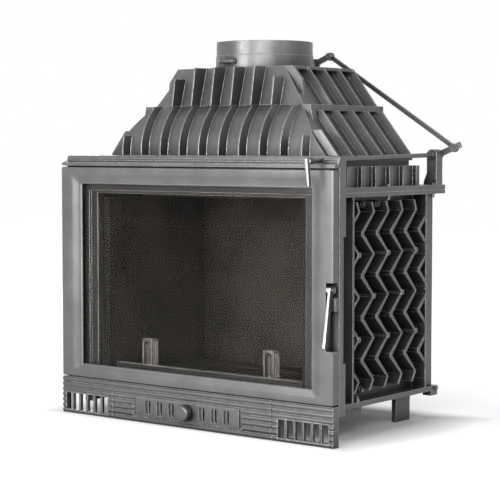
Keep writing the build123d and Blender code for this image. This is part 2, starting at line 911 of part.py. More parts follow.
def make_floor():
    floor_half = body_half + floor_edge
    floor_rear = body_rear + floor_rear_edge
    plate = block(-floor_half, floor_half, frame_back, floor_rear, leg_height, floor_top)
    ash_front = frame_back + grate_front + grate_seat
    ash_rear = frame_back + grate_front + grate_length - grate_seat
    ash_half = grate_half_width - grate_seat
    plate = plate - block(-ash_half, ash_half, ash_front, ash_rear, leg_height, floor_top)
    corner = block(
        cheek_inner,
        floor_half,
        floor_rear - corner_block_length,
        floor_rear,
        leg_height - corner_block_depth,
        leg_height,
    )
    plate = join([plate] + both_sides(corner))
    stud_x = body_half + floor_edge / 2
    stud_y = frame_back + front_rib_start + stud_length
    hole = rod_z(foot_stud_radius + running_gap, leg_height, floor_top, stud_x, stud_y)
    plate = cut(plate, both_sides(hole))
    tie_y = floor_rear - tie_bolt_inset
    tie_z = leg_height + floor_thickness / 2
    tie_hole = rod_x(tie_bolt_radius + running_gap, floor_half - tie_bolt_grip, floor_half, tie_y, tie_z)
    plate = cut(plate, both_sides(tie_hole))
    save("floor_plate", plate)
    tie = rod_x(tie_bolt_radius, floor_half - tie_bolt_grip, floor_half, tie_y, tie_z)
    tie = tie + hexagon_x(2 * tie_bolt_radius, floor_half, floor_half + bolt_head_height, tie_y, tie_z)
    save("tie_bolts", both_sides(tie))

    stud_low = leg_height - foot_stud_drop
    stud = rod_z(foot_stud_radius, stud_low, stud_low + stud_length, stud_x, stud_y)
    nut = rod_z(floor_edge / 2 - face_gap, floor_top, floor_top + nut_height, stud_x, stud_y)
    save("foot_studs", both_sides(stud + nut))

    leg_out = body_half - leg_side_inset
    leg_rear = body_rear - leg_rear_inset
    leg_front = leg_rear - leg_length
    shoulder = leg_height - leg_flare_height
    leg = prism_x(
        [
            (leg_front, 0),
            (leg_rear, 0),
            (leg_rear, shoulder),
            (leg_rear + leg_flare, leg_height),
            (leg_front - leg_flare, leg_height),
            (leg_front, shoulder),
        ],
        leg_out - leg_thickness,
        leg_out,
    )
    save("rear_legs", both_sides(leg))

    cheek_low = leg_height - cheek_height
    cheek_end = frame_front + cheek_length
    cheek = block(cheek_inner, body_half, frame_front, cheek_end, cheek_low, leg_height)
    rear_low = cheek.edges().filter_by(Axis.X).sort_by(lambda e: e.center().Y - e.center().Z)[-1]
    cheek = fillet(rear_low, cheek_corner)
    flange_in = cheek_inner - cheek_thickness
    flange_back = frame_front + cheek_flange
    cheek = cheek + block(flange_in, cheek_inner, frame_front, flange_back, cheek_low, leg_height)
    save("right_cheek", cheek)
    save("left_cheek", mirrored(cheek))


# Side walls with zigzag fins between two posts, and the rear wall

def fin_column(y_front, x0, x1):
    y_rear = y_front + fin_swing
    front_edge = [(y_rear - fin_foot_lean, fin_bottom - fin_stub)]
    rear_edge = [(y_rear - fin_foot_lean + fin_width, fin_bottom - fin_stub)]
    for level in range(fin_levels):
        z = fin_bottom + 2 * level * fin_half_level
        front_edge.append((y_rear, z))
        rear_edge.append((y_rear + fin_width, z))
        if level < fin_levels - 1:
            middle = z + fin_half_level
            front_edge.append((y_front, middle - fin_blunt / 2))
            front_edge.append((y_front, middle + fin_blunt / 2))
            rear_edge.append((y_front + fin_width + fin_vertex_extra, middle))
    front_edge.append((y_rear - fin_head_lean, fin_top + fin_stub))
    rear_edge.append((y_rear - fin_head_lean + fin_width, fin_top + fin_stub))
    return prism_x(front_edge + rear_edge[::-1], x0, x1)


def wall_bolt_places():
    first = frame_back + wall_bolt_first
    return [
        (first, fin_top + wall_bolt_rise),
        (first + fin_pitch, fin_top + wall_bolt_rise),
        (first - wall_bolt_low_shift, fin_bottom - wall_bolt_drop),
    ]


def make_walls():
    plate = block(body_inner, wall_face, frame_back, body_rear, floor_top, wall_top)
    flange = block(wall_face, flange_half, frame_back, body_rear, wall_flange_bottom, wall_top)
    corner = block(body_inner, flange_half, body_rear, flange_rear, wall_flange_bottom, wall_top)
    pieces = [plate, flange, corner]
    first_rib = frame_back + front_rib_start
    last_rib = body_rear - rear_rib_setback
    for y in (first_rib, last_rib):
        pieces.append(block(wall_face, fin_face, y, y + thin_rib_width, floor_top, wall_flange_bottom))
    post_start = last_rib + thin_rib_width + rear_post_gap
    post_end = body_rear - rear_post_inset
    pieces.append(block(wall_face, body_half, post_start, post_end, floor_top, wall_flange_bottom))
    fin_root = wall_face - root_sink
    field_start = first_rib + root_sink
    field_end = last_rib + root_sink
    field = block(fin_root, fin_face, field_start, field_end, floor_top, wall_top)
    for column in range(fin_columns):
        y = frame_back + fin_first + column * fin_pitch
        whole = fin_column(y, fin_root, fin_face)
        pieces += (whole & field).solids()
    for level in range(1, fin_levels - 1):
        for column in range((level + 1) % 2, fin_columns, 2):
            y = frame_back + fin_first + column * fin_pitch + fin_swing + fin_width / 2
            y = min(y, last_rib + thin_rib_width / 2)
            z = fin_bottom + 2 * level * fin_half_level
            pieces.append(rod_x(stud_radius, fin_root, fin_face + stud_rise, y, z))
    boss_end = wall_face + wall_boss_depth
    for y, z in wall_bolt_places():
        pieces.append(rod_x(wall_boss_radius, fin_root, boss_end, y, z))
    right = join(pieces)
    bolt_holes = []
    bolts = []
    bolt_end = body_inner - wall_bolt_grip
    for y, z in wall_bolt_places():
        bolt_holes.append(rod_x(bolt_radius + running_gap, bolt_end, boss_end, y, z))
        shank = rod_x(bolt_radius, bolt_end, boss_end, y, z)
        head = hexagon_x(bolt_head_radius, boss_end, boss_end + bolt_head_height, y, z)
        bolts += both_sides(shank + head)
    right = cut(right, bolt_holes)
    for x, y in hood_bolt_places():
        right = right - rod_z(bolt_radius + running_gap, wall_flange_bottom, wall_top, x, y)
    save("right_wall", right)
    save("left_wall", mirrored(right))
    save("wall_bolts", bolts)

    rear = block(
        -body_inner, body_inner, body_rear - wall_thickness, body_rear, floor_top, wall_top
    )
    rear_flange = block(
        -body_inner, body_inner, body_rear, flange_rear, wall_flange_bottom, wall_top
    )
    save("rear_wall", rear + rear_flange)

    lining = block(lining_inner, body_inner, frame_back, lining_rear, floor_top, lining_top)
    lining = cut(lining, bolt_holes)
    save("right_lining", lining)
    save("left_lining", mirrored(lining))

    back = block(
        -body_inner, body_inner, lining_rear, lining_rear + rear_lining_plate, floor_top, lining_top
    )
    ribs = [back]
    for index in range(lining_ribs):
        reach = body_inner - rear_lining_rib_width
        x = -reach + index * 2 * reach / (lining_ribs - 1)
        ribs.append(
            block(
                x - rear_lining_rib_width / 2,
                x + rear_lining_rib_width / 2,
                lining_rear + rear_lining_plate,
                body_rear - wall_thickness,
                floor_top,
                lining_top,
            )
        )
    save("rear_lining", join(ribs))


# Hearth, grate, log guard and smoke baffle

def make_firebox():
    grate_y0 = frame_back + grate_front
    grate_y1 = grate_y0 + grate_length
    hearth = block(-lining_inner, lining_inner, frame_back, lining_rear, floor_top, hearth_top)
    hearth = hearth - block(
        -grate_half_width, grate_half_width, grate_y0, grate_y1, floor_top, hearth_top
    )
    step_back = frame_back + hearth_step
    hearth = hearth + block(
        -lining_inner, lining_inner, frame_back, step_back, hearth_top, hearth_top + hearth_step_height
    )
    save("hearth", hearth)

    grate = block(
        -grate_half_width + grate_play,
        grate_half_width - grate_play,
        grate_y0 + grate_play,
        grate_y1 - grate_play,
        floor_top,
        floor_top + grate_thickness,
    )
    field = 2 * (grate_half_width - grate_seat)
    for index in range(grate_slots):
        x = -field / 2 + (index + 0.5) * field / grate_slots
        grate = grate - block(
            x - grate_slot_width / 2,
            x + grate_slot_width / 2,
            grate_y0 + grate_seat,
            grate_y1 - grate_seat,
            floor_top,
            floor_top + grate_thickness,
        )
    save("grate", grate)

    guard_half = lining_inner - guard_end_gap
    post_x = guard_half - guard_post_inset
    guard = block(
        -guard_half,
        guard_half,
        step_back,
        step_back + guard_thickness,
        hearth_top,
        hearth_top + guard_height,
    )
    post_low = hearth_top + guard_height
    post_high = post_low + guard_post_height
    post_front = step_back + guard_post_offset
    post_back = post_front + guard_post_depth
    post_in = post_x - guard_post_width / 2
    post_out = post_x + guard_post_width / 2
    post = block(post_in, post_out, post_front, post_back, post_low, post_high)
    upper_back = post.edges().filter_by(Axis.X).sort_by(lambda e: e.center().Y + e.center().Z)[-1]
    post = fillet(upper_back, guard_post_corner)
    niche_top = post_high - guard_post_width / 2
    post = post - rod_z(guard_niche_radius, post_low, niche_top, post_x, post_front)
    post = post - Pos(post_x, post_front, niche_top) * Sphere(guard_niche_radius)
    flute_top = post_high - guard_post_corner
    for index in range(guard_flutes):
        y = (post_front + post_back) / 2 + (index - (guard_flutes - 1) / 2) * guard_flute_pitch
        for x in (post_in, post_out):
            post = post - rod_z(guard_flute_radius, post_low, flute_top, x, y)
    save("log_guard", join([guard] + both_sides(post)))

    baffle_half = lining_inner + baffle_bearing
    baffle = block(
        -baffle_half,
        baffle_half,
        lining_rear + baffle_bearing - baffle_length,
        lining_rear + baffle_bearing,
        lining_top,
        lining_top + baffle_thickness,
    )
    save("smoke_baffle", baffle)


# Smoke hood

def crest_half(z):
    share = (z - bar_top) / lower_height
    return bar_half + share * (ledge_half_width - bar_half)


def upper_crest_half(z):
    share = (z - ledge_top) / upper_height
    return upper_foot_half_width + share * (top_half_width - upper_foot_half_width)


def lower_crest_y(z):
    share = (z - bar_top) / lower_height
    return hood_front + lower_lean * share ** lower_curve


def upper_crest_y(z):
    share = (z - ledge_top) / upper_height
    return ledge_front - upper_crest_gap + upper_crest_lean * share


def hood_bolt_places():
    x = flange_half - (flange_edge - skirt_rib_height) / 2
    middle = frame_back + body_depth / 2
    return [(x, frame_back + hood_bolt_front), (x, middle), (x, body_rear - hood_bolt_rear)]


# Section of a hood rib as steps below the crest and shifts to the side: narrow crest, hollow flanks
def rib_outline(depth):
    half = [
        (depth + rib_sink, rib_root / 2),
        (depth * rib_waist_share, rib_waist / 2),
        (depth * rib_neck_share, rib_neck / 2),
        (0, rib_crest / 2),
    ]
    return [(step, -shift) for step, shift in half] + half[::-1]


# A rib along the slope, through sections at several heights
def rib_loft(sections):
    wires = [Wire.make_polygon(points) for points in sections]
    return Solid.make_loft(wires, ruled=True)


def side_rib(y, heights, half_at, depth):
    sections = []
    for z in heights:
        crest = half_at(z)
        sections.append([(crest - step, y + shift, z) for step, shift in rib_outline(depth)])
    return rib_loft(sections)


def front_rib(x, heights, crest_at, depth):
    sections = []
    for z in heights:
        crest = crest_at(z)
        sections.append([(x + shift, crest + step, z) for step, shift in rib_outline(depth)])
    return rib_loft(sections)


def levels(low, high):
    return [low + (high - low) * index / (hood_sections - 1) for index in range(hood_sections)]


def make_lower_hood():
    skirt_front = hood_front + skirt_front_gap
    flange = block(-flange_half, flange_half, frame_back, flange_rear, wall_top, flange_top)
    skirt = block(-body_half, body_half, skirt_front, hood_rear, flange_top, skirt_top)
    neck_half = body_half - neck_depth
    neck = block(-neck_half, neck_half, skirt_front, hood_rear, skirt_top, bar_bottom)
    bar = block(-bar_half, bar_half, hood_front, hood_rear, bar_bottom, bar_top)
    ledge = block(
        -ledge_half_width,
        ledge_half_width,
        ledge_front,
        hood_rear + ledge_rear_edge,
        ledge_top - ledge_thickness,
        ledge_top,
    )
    foot_half = crest_half(bar_top) - side_rib_depth
    head_half = crest_half(ledge_top) - side_rib_depth
    slope = prism_y(
        [(-foot_half, bar_top), (foot_half, bar_top), (head_half, ledge_top), (-head_half, ledge_top)],
        hood_front,
        hood_rear,
    )
    valley = [(lower_crest_y(z) + front_rib_depth, z) for z in levels(bar_top, ledge_top)]
    profile = prism_x(valley + [(hood_rear, ledge_top), (hood_rear, bar_top)], -body_half, body_half)
    pieces = [flange, skirt, neck, bar, ledge, (slope & profile).solids()[0]]

    skirt_last = hood_rear - skirt_rib_width / 2
    for index in range(skirt_ribs):
        y = skirt_last - index * skirt_rib_pitch
        rib = block(
            body_half - root_sink,
            body_half + skirt_rib_height,
            y - skirt_rib_width / 2,
            y + skirt_rib_width / 2,
            flange_top,
            skirt_top,
        )
        pieces += both_sides(rib)

    for index in range(side_ribs):
        y = hood_rear - rib_crest / 2 - index * side_rib_pitch
        heights = [bar_top - root_sink, ledge_top - ledge_thickness + root_sink]
        rib = side_rib(y, heights, crest_half, side_rib_depth)
        if index == 0:
            rib = rib & block(0, body_half, 0, hood_rear, 0, hood_top)
            rib = rib.solids()[0]
        pieces += both_sides(rib)
    short_y = hood_front + short_side_rib_y
    short_top = bar_top + short_side_rib_height
    short_depth = side_rib_depth + short_rib_extra
    short = side_rib(short_y, [bar_top - root_sink, short_top], crest_half, short_depth)
    pieces += both_sides(short)

    post_low = short_top + corner_post_width
    post_wide = (crest_half(post_low) + crest_half(ledge_top)) / 2 - corner_post_width
    post = prism_y(
        [
            (head_half, post_low),
            (post_wide, post_low),
            (ledge_half_width, ledge_top),
            (head_half, ledge_top),
        ],
        ledge_front - corner_post_width,
        ledge_front + corner_post_width,
    )
    pieces += both_sides(post)

    rib_count = int(bar_half / front_rib_pitch)
    for index in range(rib_count):
        x = (index + 0.5) * front_rib_pitch
        top = ledge_top
        if index == rib_count - 1:
            top = bar_top + short_front_rib_height
        rib = front_rib(x, levels(bar_top, top), lower_crest_y, front_rib_depth)
        foot = front_rib(x, [bar_bottom, bar_top], lambda z: hood_front, front_rib_depth)
        pieces += both_sides(rib)
        pieces += both_sides(foot)
    hood = join(pieces)

    hollow_front = skirt_front + hood_wall
    hollow_rear = hood_rear - hood_wall
    hood = hood - block(-body_inner, body_inner, hollow_front, hollow_rear, wall_top, bar_top)
    hood = hood - cavity(
        bar_top, foot_half - hood_wall, hood_front + front_rib_depth + hood_wall, hollow_rear,
        ledge_top, head_half - hood_wall, ledge_front + hood_wall, hollow_rear,
    )
    for x, y in hood_bolt_places():
        hole = rod_z(bolt_radius + running_gap, wall_top, flange_top, x, y)
        hood = cut(hood, both_sides(hole))
    save("hood_lower", hood)

    bolts = []
    for x, y in hood_bolt_places():
        shank = rod_z(bolt_radius, wall_flange_bottom - nut_height - hood_bolt_end, flange_top, x, y)
        head = hexagon_z(hood_bolt_head_radius, flange_top, flange_top + bolt_head_height, x, y)
        nut_low = wall_flange_bottom - nut_height
        nut = hexagon_z(hood_bolt_head_radius, nut_low, wall_flange_bottom, x, y)
        bolts += both_sides(shank + head + nut)
    save("hood_bolts", bolts)


# A tapered hollow between two rectangles
def cavity(z0, half0, front0, rear0, z1, half1, front1, rear1):
    foot = [(-half0, front0, z0), (half0, front0, z0), (half0, rear0, z0), (-half0, rear0, z0)]
    head = [(-half1, front1, z1), (half1, front1, z1), (half1, rear1, z1), (-half1, rear1, z1)]
    return rib_loft([foot, head])


def make_upper_hood():
    plate_low = hood_top - top_plate_thickness
    foot_half = upper_crest_half(ledge_top) - side_rib_depth
    head_half = upper_crest_half(hood_top) - side_rib_depth
    slope = prism_y(
        [(-foot_half, ledge_top), (foot_half, ledge_top), (head_half, hood_top), (-head_half, hood_top)],
        hood_front,
        hood_rear,
    )
    plate_front = ledge_front + upper_front_lean
    profile = prism_x(
        [(ledge_front, ledge_top), (plate_front, hood_top), (hood_rear, hood_top), (hood_rear, ledge_top)],
        -body_half,
        body_half,
    )
    core = (slope & profile).solids()[0]
    plate = block(-top_half_width, top_half_width, plate_front, hood_rear, plate_low, hood_top)
    pieces = [core, plate]
    for index in range(side_ribs - 1):
        y = hood_rear - rib_crest / 2 - index * side_rib_pitch
        rib = side_rib(y, [ledge_top, hood_top], upper_crest_half, side_rib_depth)
        if index == 0:
            rib = rib & block(0, body_half, 0, hood_rear, 0, hood_top)
            rib = rib.solids()[0]
        pieces += both_sides(rib)

    waist = ledge_top + first_plate_waist
    shoulder = ledge_top + first_plate_shoulder
    first_foot = ledge_half_width - first_plate_inset
    waist_half = first_foot - first_plate_waist_step
    shoulder_half = first_foot - first_plate_shoulder_step
    outline = [
        (-first_foot, ledge_top),
        (first_foot, ledge_top),
        (waist_half, waist),
        (shoulder_half, shoulder),
        (top_half_width, hood_top),
        (-top_half_width, hood_top),
        (-shoulder_half, shoulder),
        (-waist_half, waist),
    ]
    pieces.append(prism_y(outline, plate_front, plate_front + first_plate_thickness))

    rib_count = int(top_half_width / front_rib_pitch + 0.5)
    for index in range(rib_count):
        x = (index + 0.5) * front_rib_pitch
        top = hood_top
        if index == rib_count - 1:
            top = hood_top - short_upper_rib_drop
        rib = front_rib(x, [ledge_top, top], upper_crest_y, upper_crest_gap + upper_rib_extra)
        pieces += both_sides(rib)
    hood = join(pieces)

    hood = hood - cavity(
        ledge_top, foot_half - hood_wall, ledge_front + hood_wall, hood_rear - hood_wall,
        plate_low, head_half - hood_wall, plate_front + hood_wall, hood_rear - hood_wall,
    )
    bore = collar_radius - collar_wall
    hood = hood - rod_z(bore, plate_low, hood_top, 0, collar_y)
    save("hood_upper", hood)


# Flue collar and the flap that turns in it

def make_flue():
    foot_top = hood_top + collar_foot_height
    collar_top = foot_top + spigot_length
    foot_radius = collar_radius + collar_step
    collar = rod_z(collar_radius, hood_top, collar_top, 0, collar_y)
    collar = collar + rod_z(foot_radius, hood_top, foot_top, 0, collar_y)
    bore = collar_radius - collar_wall
    collar = collar - rod_z(bore, hood_top, collar_top, 0, collar_y)
    shaft_hole = rod_y(flap_shaft_radius + running_gap, 0, flange_rear, 0, flap_z_rear)
    collar = collar - tilted(shaft_hole)
    save("flue_collar", collar)

    bend_y = collar_y - foot_radius - bend_gap - bend_radius
    shift = (flap_z_rear - rod_z_rear) * math.sin(math.radians(shaft_tilt))
    middle_y = collar_y + shift
    front_y = bend_y + shift
    shaft = rod_y(flap_shaft_radius, front_y, crank_back, 0, flap_z_rear)
    flap_radius = bore - flap_clearance
    flat = block(
        -flap_shaft_radius,
        flap_shaft_radius,
        middle_y - flap_radius,
        middle_y + flap_radius,
        flap_z_rear + flap_flat,
        flap_z_rear + flap_shaft_radius,
    )
    shaft = shaft - flat
    arm = rod_x(bend_radius, -bend_reach, 0, front_y, flap_z_rear)
    elbow = Pos(0, front_y, flap_z_rear) * Sphere(bend_radius)
    corner = Pos(-bend_reach, front_y, flap_z_rear) * Sphere(bend_radius)
    end = rod_y(bend_end_radius, front_y - bend_end_length, front_y, -bend_reach, flap_z_rear)
    shaft = shaft + arm + elbow + corner + end
    disc_low = flap_z_rear + flap_flat
    disc_high = disc_low + flap_thickness
    disc = rod_z(flap_radius, disc_low, disc_high, 0, middle_y)
    screws = []
    for step in (-1, 1):
        y = middle_y + step * flap_screw_spread
        hole = rod_z(flap_screw_radius + running_gap, flap_z_rear - flap_flat, disc_high, 0, y)
        shaft = shaft - hole
        disc = disc - hole
        shank = rod_z(flap_screw_radius, flap_z_rear - flap_flat, disc_high, 0, y)
        head = rod_z(2 * flap_screw_radius, disc_high, disc_high + flap_screw_radius, 0, y)
        screws.append(tilted(shank + head))
    save("flap_shaft", tilted(shaft))
    save("damper_flap", tilted(disc))
    save("flap_screws", screws)


# Operating rod, lever, cranks, link and bracket

def crank_pin_offset():
    angle = math.radians(crank_angle)
    return crank_radius * math.cos(angle), crank_radius * math.sin(angle)


def crank_arm(x, z, reach, shaft_radius):
    dx, dz = crank_pin_offset()
    ux, uz = dx / crank_radius, dz / crank_radius
    end_x, end_z = x + reach * ux, z + reach * uz
    half = crank_tail_half_height
    bar = prism_y(
        [
            (x - half * uz, z + half * ux),
            (x + half * uz, z - half * ux),
            (end_x + half * uz, end_z - half * ux),
            (end_x - half * uz, end_z + half * ux),
        ],
        crank_front,
        crank_back,
    )
    arm = bar + rod_y(crank_hub_radius, crank_front, crank_back, x, z)
    arm = arm + rod_y(crank_eye_radius, crank_front, crank_back, x + dx, z + dz)
    arm = arm - rod_y(shaft_radius + running_gap, crank_front, crank_back, x, z)
    return arm - rod_y(pin_radius + running_gap, crank_front, crank_back, x + dx, z + dz)


# The hanging finger of the lever: rounded rectangles that shrink towards the tip and at both ends
def lever_blade():
    top_z = rod_z_rear + lever_top
    tip_z = rod_z_rear - lever_length
    heights = [top_z, top_z - lever_end_height, tip_z + lever_end_height, tip_z]
    shares = [lever_end_share, 1, 1, lever_end_share]
    faces = []
    for z, share in zip(heights, shares):
        down = (top_z - z) / (top_z - tip_z)
        width = share * (lever_top_width + down * (lever_tip_width - lever_top_width))
        depth = share * (lever_top_depth + down * (lever_tip_depth - lever_top_depth))
        x = rod_x_place + down * lever_lean
        y = lever_top_depth / 2 - rod_front_reach
        corner = lever_corner_share * width
        faces.append(Pos(x, y, z) * RectangleRounded(width, depth, corner))
    return loft(faces, ruled=True)


def make_linkage():
    dx, dz = crank_pin_offset()
    rod_start = lever_top_depth - rod_front_reach
    rod = rod_y(rod_radius, rod_start, crank_back, rod_x_place, rod_z_rear)
    save("damper_rod", tilted(rod))
    save("lower_crank", tilted(crank_arm(rod_x_place, rod_z_rear, crank_tail, rod_radius)))
    save("upper_crank", tilted(crank_arm(0, flap_z_rear, crank_radius, flap_shaft_radius)))

    link_front = crank_back + link_gap
    link_back = link_front + link_thickness
    low_x, low_z = rod_x_place + dx, rod_z_rear + dz
    high_x, high_z = dx, flap_z_rear + dz
    length = math.hypot(low_x - high_x, low_z - high_z)
    nx, nz = (high_z - low_z) / length, (low_x - high_x) / length
    half = link_height / 2
    bar = prism_y(
        [
            (low_x + half * nx, low_z + half * nz),
            (low_x - half * nx, low_z - half * nz),
            (high_x - half * nx, high_z - half * nz),
            (high_x + half * nx, high_z + half * nz),
        ],
        link_front,
        link_back,
    )
    bar = bar + rod_y(link_eye_radius, link_front, link_back, low_x, low_z)
    bar = bar + rod_y(link_eye_radius, link_front, link_back, high_x, high_z)
    bar = bar - rod_y(pin_radius + running_gap, link_front, link_back, low_x, low_z)
    bar = bar - rod_y(pin_radius + open_pivot_clearance, link_front, link_back, high_x, high_z)
    save("link_rod", tilted(bar))

    head_front = link_back + link_gap
    for name, x, z in (("lower_pin", low_x, low_z), ("upper_pin", high_x, high_z)):
        pin = rod_y(pin_radius, crank_front, head_front, x, z)
        pin = pin + rod_y(pin_head_radius, head_front, head_front + pin_head_height, x, z)
        save(name, tilted(pin))

    hub_back = rod_start + lever_hub_length
    hub = rod_y(lever_hub_radius, rod_start - lever_hub_sink, hub_back, rod_x_place, rod_z_rear)
    bore = rod_y(rod_radius + running_gap, rod_start, hub_back, rod_x_place, rod_z_rear)
    save("damper_lever", tilted(lever_blade() + hub - bore))

    bracket_back = flange_rear - bracket_rear_inset
    bracket_front = bracket_back - bracket_length
    middle = (bracket_front + bracket_back) / 2
    boss_z = rod_z_rear + (middle - crank_y) * shaft_slope
    boss = rod_radius + bracket_wall
    foot_in = rod_x_place - bracket_foot_half_width
    foot_out = min(rod_x_place + bracket_foot_half_width, flange_half - bracket_edge_gap)
    body = prism_y(
        [
            (foot_in, flange_top),
            (foot_out, flange_top),
            (foot_out, flange_top + bracket_foot),
            (rod_x_place + boss, flange_top + 2 * bracket_foot),
            (rod_x_place + boss, boss_z),
            (rod_x_place - boss, boss_z),
            (rod_x_place - boss, flange_top + 4 * bracket_foot),
            (foot_in, flange_top + bracket_foot),
        ],
        bracket_front,
        bracket_back,
    )
    body = body + rod_y(boss, bracket_front, bracket_back, rod_x_place, boss_z)
    body = body - tilted(rod_y(rod_radius + running_gap, hood_rear, crank_back, rod_x_place, rod_z_rear))
    save("rod_bracket", body)

    ring_back = bracket_front - face_gap
    ring_front = ring_back - collar_ring_width
    stop = rod_y(rod_radius + collar_ring_wall, ring_front, ring_back, rod_x_place, rod_z_rear)
    stop = stop - rod_y(rod_radius + running_gap, ring_front, ring_back, rod_x_place, rod_z_rear)
    save("rod_collar", tilted(stop))


os.makedirs("parts", exist_ok=True)
make_base()
make_drawer()
make_door()
make_hinges()
make_frame()
make_floor()
make_walls()
make_firebox()
make_lower_hood()
make_upper_hood()
make_flue()
make_linkage()
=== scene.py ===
import bpy
import json
import math
from mathutils import Matrix, Vector

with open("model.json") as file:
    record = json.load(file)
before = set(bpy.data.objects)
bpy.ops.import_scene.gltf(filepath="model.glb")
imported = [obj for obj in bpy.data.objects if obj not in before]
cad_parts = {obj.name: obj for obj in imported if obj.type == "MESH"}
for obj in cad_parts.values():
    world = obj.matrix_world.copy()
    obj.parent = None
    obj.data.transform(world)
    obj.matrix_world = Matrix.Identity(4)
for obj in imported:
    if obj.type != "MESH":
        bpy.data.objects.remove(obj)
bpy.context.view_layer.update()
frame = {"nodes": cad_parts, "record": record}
nodes = frame["nodes"]
print("frame loaded:", len(nodes), "nodes")

# camera: angles in degrees, place in metres, focal length in pixels of the photo
view = {
    "yaw": 37.95, "pitch": 3.70, "place": (2.0547, -2.4478, 0.5619),
    "focalPixels": 1623.52, "photoPixels": 500, "sensor": 36, "clip": (0.1, 60),
}


def makeCamera():
    data = bpy.data.cameras.new("photoCamera")
    data.sensor_width = view["sensor"]
    data.lens = view["focalPixels"] * data.sensor_width / view["photoPixels"]
    data.clip_start, data.clip_end = view["clip"]
    camera = bpy.data.objects.new("photoCamera", data)
    yaw, pitch = math.radians(view["yaw"]), math.radians(view["pitch"])
    right = Vector((math.cos(yaw), math.sin(yaw), 0))
    back = Vector((math.sin(yaw) * math.cos(pitch), -math.cos(yaw) * math.cos(pitch), math.sin(pitch)))
    up = back.cross(right)
    camera.matrix_world = Matrix((
        (right.x, up.x, back.x, view["place"][0]),
        (right.y, up.y, back.y, view["place"][1]),
        (right.z, up.z, back.z, view["place"][2]),
        (0, 0, 0, 1)))
    bpy.context.scene.collection.objects.link(camera)
    bpy.context.scene.camera = camera


lamps = {
    "front": {"place": (-0.6, -2.6, 1.0), "size": 1.0, "watts": 72, "aim": (0.05, 0.0, 0.35)},
    "near": {"place": (0.7, -1.4, 0.6), "size": 0.6, "watts": 21, "aim": (0.05, 0.0, 0.35)},
    "corner": {"place": (1.8, -1.6, 1.2), "size": 1.0, "watts": 34, "aim": (0.05, 0.0, 0.35)},
    "side": {"place": (2.6, -0.2, 1.3), "size": 1.2, "watts": 8, "aim": (0.05, 0.0, 0.35)},
    "back": {"place": (-1.8, 2.2, 1.3), "size": 1.2, "watts": 34, "aim": (0, 0.3, 0.4)},
}


def makeLamp(name, lamp):
    data = bpy.data.lights.new(name, "AREA")
    data.shape = "SQUARE"
    data.size = lamp["size"]
    data.energy = lamp["watts"]
    light = bpy.data.objects.new(name, data)
    light.location = lamp["place"]
    light.rotation_euler = (Vector(lamp["aim"]) - Vector(lamp["place"])).to_track_quat("-Z", "Y").to_euler()
    light.visible_camera = False
    bpy.context.scene.collection.objects.link(light)


def maths(tree, operation, first, second):
    node = tree.nodes.new("ShaderNodeMath")
    node.operation = operation
    for index, value in enumerate((first, second)):
        if isinstance(value, bpy.types.NodeSocket):
            tree.links.new(value, node.inputs[index])
        else:
            node.inputs[index].default_value = value
    return node.outputs[0]


def spread(tree, source, low, high, fromLow=0.3, fromHigh=0.7):
    node = tree.nodes.new("ShaderNodeMapRange")
    for socket, value in (("From Min", fromLow), ("From Max", fromHigh), ("To Min", low), ("To Max", high)):
        node.inputs[socket].default_value = value
    tree.links.new(source, node.inputs["Value"])
    return node.outputs["Result"]


def backdropRays(tree):  # 1 for the rays that show the white backdrop: seen straight, in metal and through glass
    path = tree.nodes.new("ShaderNodeLightPath")
    seen = maths(tree, "MAXIMUM", path.outputs["Is Camera Ray"], path.outputs["Is Transmission Ray"])
    return maths(tree, "MAXIMUM", seen, path.outputs["Is Glossy Ray"])


room = {"softLevel": 0.06, "mirrorLevel": 1.0}


def makeWorld():
    world = bpy.data.worlds.new("studio")
    bpy.context.scene.world = world
    world.use_nodes = True
    tree = world.node_tree
    tree.nodes.clear()
    mix = tree.nodes.new("ShaderNodeMixShader")
    out = tree.nodes.new("ShaderNodeOutputWorld")
    tree.links.new(backdropRays(tree), mix.inputs[0])
    for slot, level in ((1, room["softLevel"]), (2, room["mirrorLevel"])):
        white = tree.nodes.new("ShaderNodeBackground")
        white.inputs["Color"].default_value = (1, 1, 1, 1)
        white.inputs["Strength"].default_value = level
        tree.links.new(white.outputs[0], mix.inputs[slot])
    tree.links.new(mix.outputs[0], out.inputs["Surface"])


floorLook = {
    "size": 14, "drop": 0.0005, "pale": 0.5, "rough": 0.9,
    "middle": (0, 0.22, 0), "reach": (0.34, 0.21, 1),  # the insert's footprint, inside which the glow drops as a painted shadow and outside which it grows
    "under": 0.06, "near": 0.66, "far": 1.0, "edge": (0.9, 1.25), "fade": (1.6, 5.0),
}


